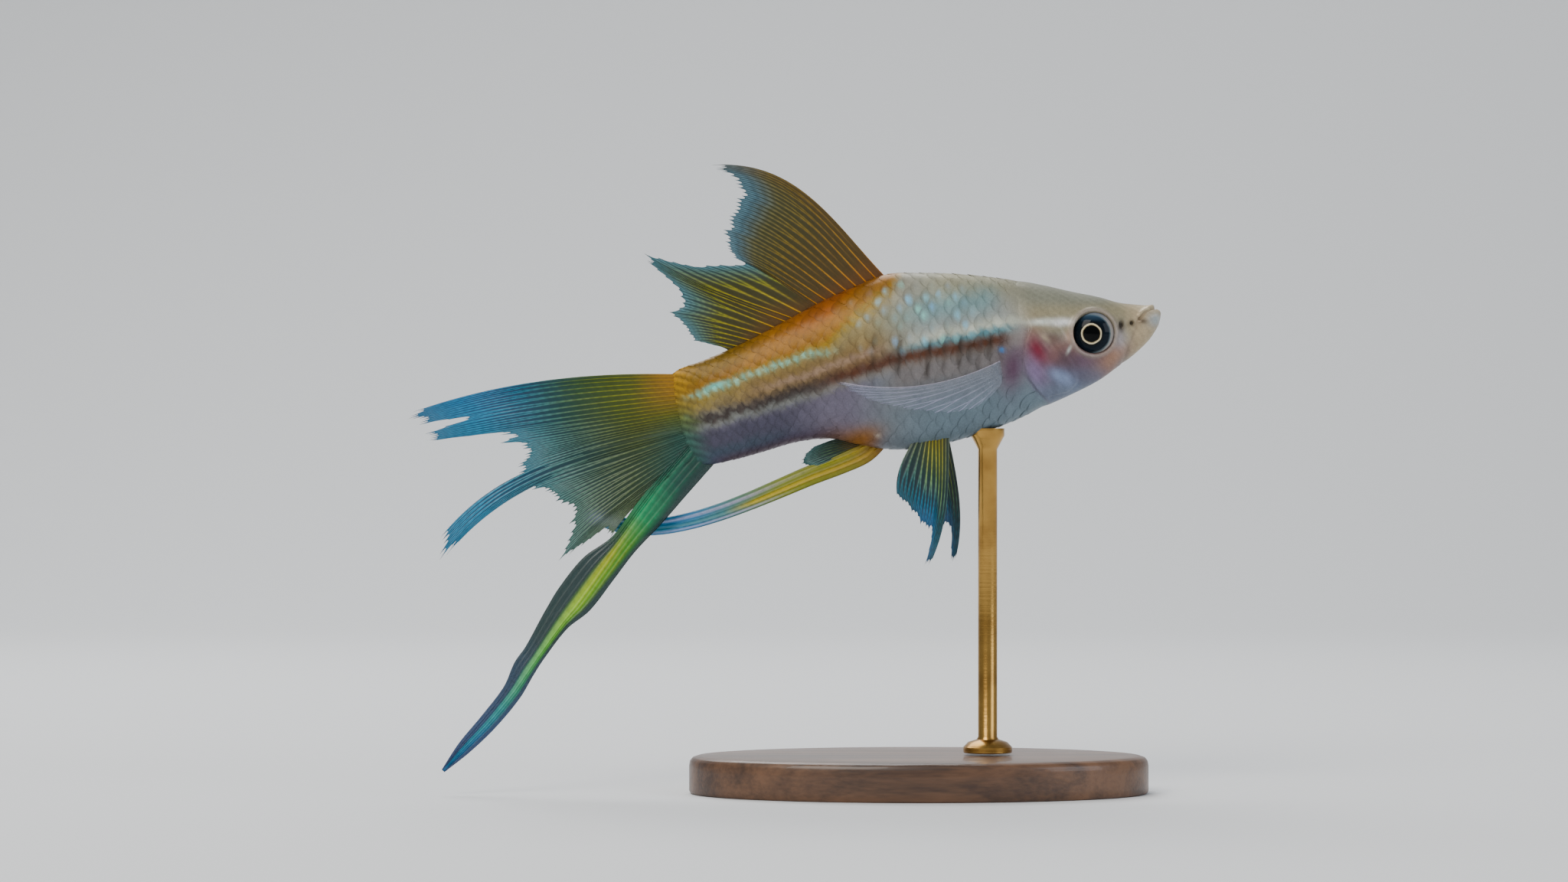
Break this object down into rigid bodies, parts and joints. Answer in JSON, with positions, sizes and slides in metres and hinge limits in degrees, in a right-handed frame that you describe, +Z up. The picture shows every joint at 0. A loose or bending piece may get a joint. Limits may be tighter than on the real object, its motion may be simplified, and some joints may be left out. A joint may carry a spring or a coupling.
{
  "type": "swordtail fish model",
  "caption": "Life-size still model of a male lyretail swordtail with raised dorsal fin and long sword, held over an oval wooden base by a rod.",
  "frame": {"origin": "middle of the base's underside, on the floor", "axes": "+X towards the fish's snout, +Z up, -Y the fish's right side"},
  "size_m": [0.0983, 0.034, 0.082],
  "materials": {
    "skin": "pearly painted skin",
    "fin": "thin painted fin",
    "tail": "thin painted fin",
    "clear_fin": "thin clear fin",
    "eye": "polished",
    "wood": "satin walnut",
    "brass": "satin brass"
  },
  "bodies": {
    "root": {"head": "skin", "lower_jaw": "skin", "gill_cover_left": "skin", "gill_cover_right": "skin", "trunk": "skin", "tail_stalk": "skin", "eye_left": "eye", "eye_right": "eye", "dorsal_fin_front": "fin", "dorsal_fin_rear": "fin", "tail_fin_upper": "tail", "tail_fin_middle": "tail", "tail_fin_lower": "tail", "tail_fin_sword": "fin", "anal_fin": "fin", "gonopodium": "fin", "pelvic_fin_left": "fin", "pelvic_fin_right": "fin", "pectoral_fin_left": "clear_fin", "pectoral_fin_right": "clear_fin", "stand_base": "wood", "stand_rod": "brass"}
  },
  "joints": []
}
